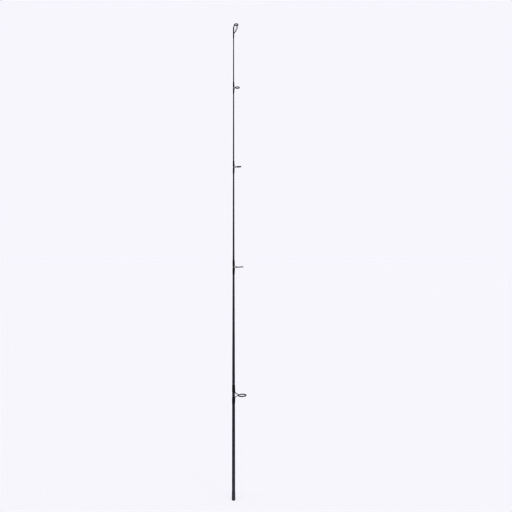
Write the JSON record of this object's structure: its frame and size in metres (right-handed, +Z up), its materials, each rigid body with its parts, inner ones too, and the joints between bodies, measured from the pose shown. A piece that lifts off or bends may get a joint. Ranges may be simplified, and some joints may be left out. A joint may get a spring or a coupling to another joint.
{
  "type": "carp rod tip section",
  "caption": "Tip section of a two-piece carp rod: tapered carbon blank with a whipped ferrule, double-foot wire guides with ceramic rings and a tip ring.",
  "frame": {"origin": "centre of the mouth face of the female ferrule, on the blank's axis", "axes": "+Z up the blank's axis to the tip ring, +X from the blank to the guide rings, +Y completes the right-handed frame"},
  "size_m": [0.0575, 0.0318, 1.8625],
  "materials": {
    "carbon": "satin clear coat over dark carbon cloth",
    "thread": "black thread under glossy varnish",
    "guide_metal": "black plating on stainless wire",
    "nylon": "moulded black nylon",
    "ceramic": "polished dark ceramic"
  },
  "bodies": {
    "root": {"blank": "carbon", "ferrule_whipping": "thread", "guide_1_frame": "guide_metal", "guide_1_shock_ring": "nylon", "guide_1_ceramic_ring": "ceramic", "guide_1_upper_whipping": "thread", "guide_1_lower_whipping": "thread", "guide_2_frame": "guide_metal", "guide_2_shock_ring": "nylon", "guide_2_ceramic_ring": "ceramic", "guide_2_upper_whipping": "thread", "guide_2_lower_whipping": "thread", "guide_3_frame": "guide_metal", "guide_3_shock_ring": "nylon", "guide_3_ceramic_ring": "ceramic", "guide_3_upper_whipping": "thread", "guide_3_lower_whipping": "thread", "guide_4_frame": "guide_metal", "guide_4_shock_ring": "nylon", "guide_4_ceramic_ring": "ceramic", "guide_4_upper_whipping": "thread", "guide_4_lower_whipping": "thread", "tip_frame": "guide_metal", "tip_shock_ring": "nylon", "tip_ceramic_ring": "ceramic", "tip_whipping": "thread"}
  },
  "joints": []
}
